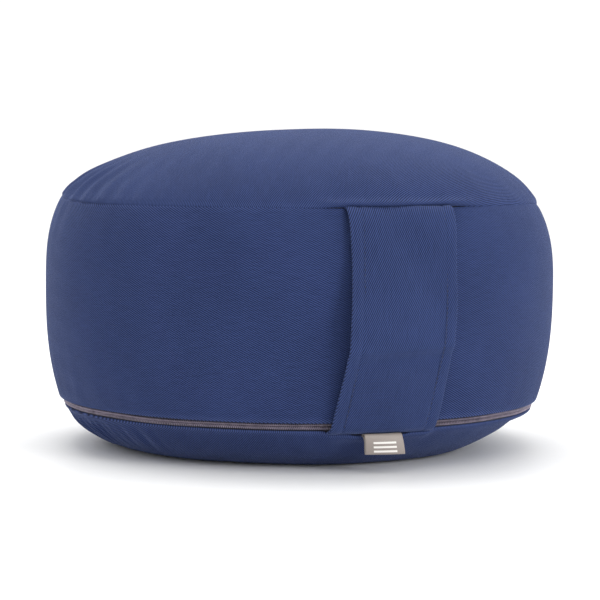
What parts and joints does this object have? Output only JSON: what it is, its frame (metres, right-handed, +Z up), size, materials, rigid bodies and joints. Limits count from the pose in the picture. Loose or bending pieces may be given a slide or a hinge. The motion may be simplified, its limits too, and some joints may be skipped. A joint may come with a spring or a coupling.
{
  "type": "floor cushion",
  "caption": "Round domed floor cushion in cotton twill with a carry strap, a coil zip in the lower seam and a hull-filled inner bag.",
  "frame": {"origin": "on the cushion's vertical axis, in the plane of the flat patch that it rests on", "axes": "+Z up through the crown; -Y towards the carry strap; +X to the right of someone who faces the strap"},
  "size_m": [0.3, 0.3111, 0.186],
  "materials": {
    "cotton_twill": "matte",
    "sewing_thread": "matte",
    "woven_satin": "satin",
    "nylon_coil": "satin",
    "zip_tape": "matte",
    "zinc_casting": "satin",
    "calico": "matte",
    "buckwheat_hulls": "matte"
  },
  "bodies": {
    "cushion": {"top_panel": "cotton_twill", "side_band": "cotton_twill", "bottom_panel": "cotton_twill", "carry_strap": "cotton_twill", "strap_stitching_left": "sewing_thread", "strap_stitching_right": "sewing_thread", "woven_label": "woven_satin", "zip_coil_upper": "nylon_coil", "zip_coil_lower": "nylon_coil", "zip_tape_upper": "zip_tape", "zip_tape_lower": "zip_tape", "zip_stop_closed_end": "nylon_coil", "zip_stop_open_end": "nylon_coil", "top_seam_thread": "sewing_thread", "tape_thread_upper": "sewing_thread", "tape_thread_lower": "sewing_thread", "rear_seam_thread": "sewing_thread", "band_closing_thread": "sewing_thread", "liner_top": "calico", "liner_band": "calico", "liner_bottom": "calico", "liner_closing_thread": "sewing_thread", "hull_fill": "buckwheat_hulls"},
    "slider": {"zip_slider": "zinc_casting"},
    "pull": {"zip_pull": "zinc_casting"}
  },
  "joints": [
    {"name": "zip_travel", "type": "hinge", "parent": "cushion", "child": "slider", "pos_m": [0, 0, 0.026], "axis": [0, 0, -1], "range_deg": [0, 264]},
    {"name": "pull_swing", "type": "hinge", "parent": "slider", "child": "pull", "pos_m": [0.10402, 0.09583, 0.02533], "axis": [0.2515, 0.2317, 0.9397], "range_deg": [0, 160]}
  ]
}
